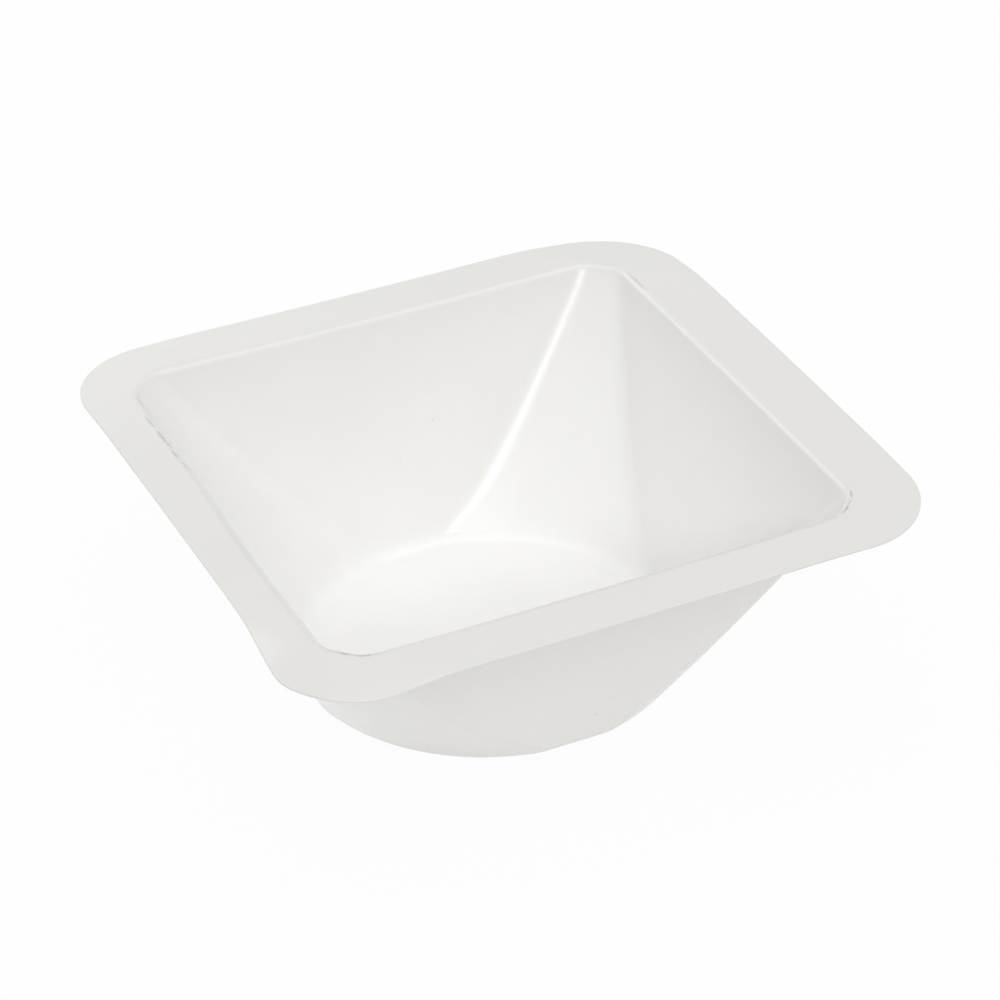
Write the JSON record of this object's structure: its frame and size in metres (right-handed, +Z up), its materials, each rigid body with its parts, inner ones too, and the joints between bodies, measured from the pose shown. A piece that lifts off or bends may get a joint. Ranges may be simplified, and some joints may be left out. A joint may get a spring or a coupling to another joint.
{
  "type": "weighing boat",
  "caption": "Square plastic weighing boat with a flat rim, four leaning walls and a round flat floor, formed from one thin sheet.",
  "frame": {"origin": "on the base plane, under the middle of the square rim", "axes": "+Z up out of the mouth; +X and +Y along the rim's sides, with the front side at -Y"},
  "size_m": [0.085, 0.085, 0.0315],
  "materials": {
    "sheet": "smooth semi-gloss white polystyrene sheet, slightly translucent"
  },
  "bodies": {
    "root": {"boat": "sheet"}
  },
  "joints": []
}
